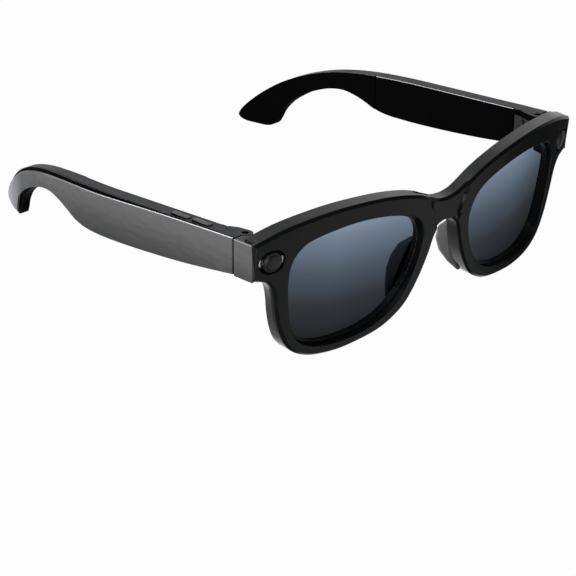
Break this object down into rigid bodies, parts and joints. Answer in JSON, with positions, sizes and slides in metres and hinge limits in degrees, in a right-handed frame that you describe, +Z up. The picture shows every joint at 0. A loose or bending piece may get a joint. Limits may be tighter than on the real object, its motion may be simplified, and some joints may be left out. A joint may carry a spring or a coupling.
{
  "type": "smart glasses",
  "caption": "Smart glasses with tinted lenses, a camera and an indicator light in the end blocks, folding temples with speakers, and press buttons on the right temple.",
  "frame": {"origin": "under the middle of the open glasses, on the surface that the rims and the temple tips stand on", "axes": "+X to the wearer's left, +Y from the front towards the temple tips, +Z up"},
  "size_m": [0.146, 0.1387, 0.047],
  "materials": {
    "gloss_black": "glossy black",
    "tinted_lens": "grey-blue tinted lens",
    "nose_pad": "satin",
    "satin_grey": "satin grey",
    "bright_metal": "polished",
    "dark_glass": "dark coated glass",
    "light_glass": "smoked glass",
    "dark_plastic": "matte black",
    "circuit_board": "solder mask",
    "flex_cable": "polyimide",
    "hinge_steel": "brushed",
    "case_plastic": "satin dark grey",
    "inner_black": "matte black",
    "battery_foil": "foil",
    "speaker_mesh": "black mesh",
    "button_plastic": "satin grey",
    "contact_gold": "gold plated"
  },
  "bodies": {
    "front": {"front_cover": "gloss_black", "rear_frame": "gloss_black", "right_lens": "tinted_lens", "left_lens": "tinted_lens", "right_nose_pad": "nose_pad", "left_nose_pad": "nose_pad", "right_end_panel": "satin_grey", "left_end_panel": "satin_grey", "camera_bezel": "bright_metal", "camera_dome": "dark_glass", "camera_barrel": "dark_plastic", "camera_board": "circuit_board", "light_bezel": "bright_metal", "light_dome": "light_glass", "light_board": "circuit_board", "brow_flex": "flex_cable", "bridge_microphone": "dark_plastic", "right_front_hinge": "hinge_steel", "left_front_hinge": "hinge_steel", "right_hinge_pin": "hinge_steel", "left_hinge_pin": "hinge_steel"},
    "right_temple": {"right_temple_case": "case_plastic", "right_outer_panel": "satin_grey", "right_inner_cover": "inner_black", "right_ear_tip": "inner_black", "right_temple_hinge": "hinge_steel", "right_hinge_screws": "hinge_steel", "right_battery": "battery_foil", "main_board": "circuit_board", "right_speaker": "dark_plastic", "right_speaker_mesh": "speaker_mesh", "button_switches": "hinge_steel", "charge_pad": "inner_black", "charge_contacts": "contact_gold"},
    "left_temple": {"left_temple_case": "case_plastic", "left_outer_panel": "satin_grey", "left_inner_cover": "inner_black", "left_ear_tip": "inner_black", "left_temple_hinge": "hinge_steel", "left_hinge_screws": "hinge_steel", "left_battery": "battery_foil", "touch_board": "circuit_board", "left_speaker": "dark_plastic", "left_speaker_mesh": "speaker_mesh"},
    "front_button": {"front_button": "button_plastic"},
    "rear_button": {"rear_button": "button_plastic"}
  },
  "joints": [
    {"name": "right_temple_fold", "type": "hinge", "parent": "front", "child": "right_temple", "pos_m": [-0.0674, -0.05062, 0.03502], "axis": [0, -0.0993, -0.9951], "range_deg": [0, 68]},
    {"name": "left_temple_fold", "type": "hinge", "parent": "front", "child": "left_temple", "pos_m": [0.0674, -0.05062, 0.03502], "axis": [0, 0.0993, 0.9951], "range_deg": [0, 84]},
    {"name": "front_button_press", "type": "slide", "parent": "right_temple", "child": "front_button", "axis": [0, -0.0993, -0.9951], "range_m": [0, 0.0004], "stiffness_N_per_m": 2000},
    {"name": "rear_button_press", "type": "slide", "parent": "right_temple", "child": "rear_button", "axis": [0, -0.0993, -0.9951], "range_m": [0, 0.0004], "stiffness_N_per_m": 2000}
  ]
}
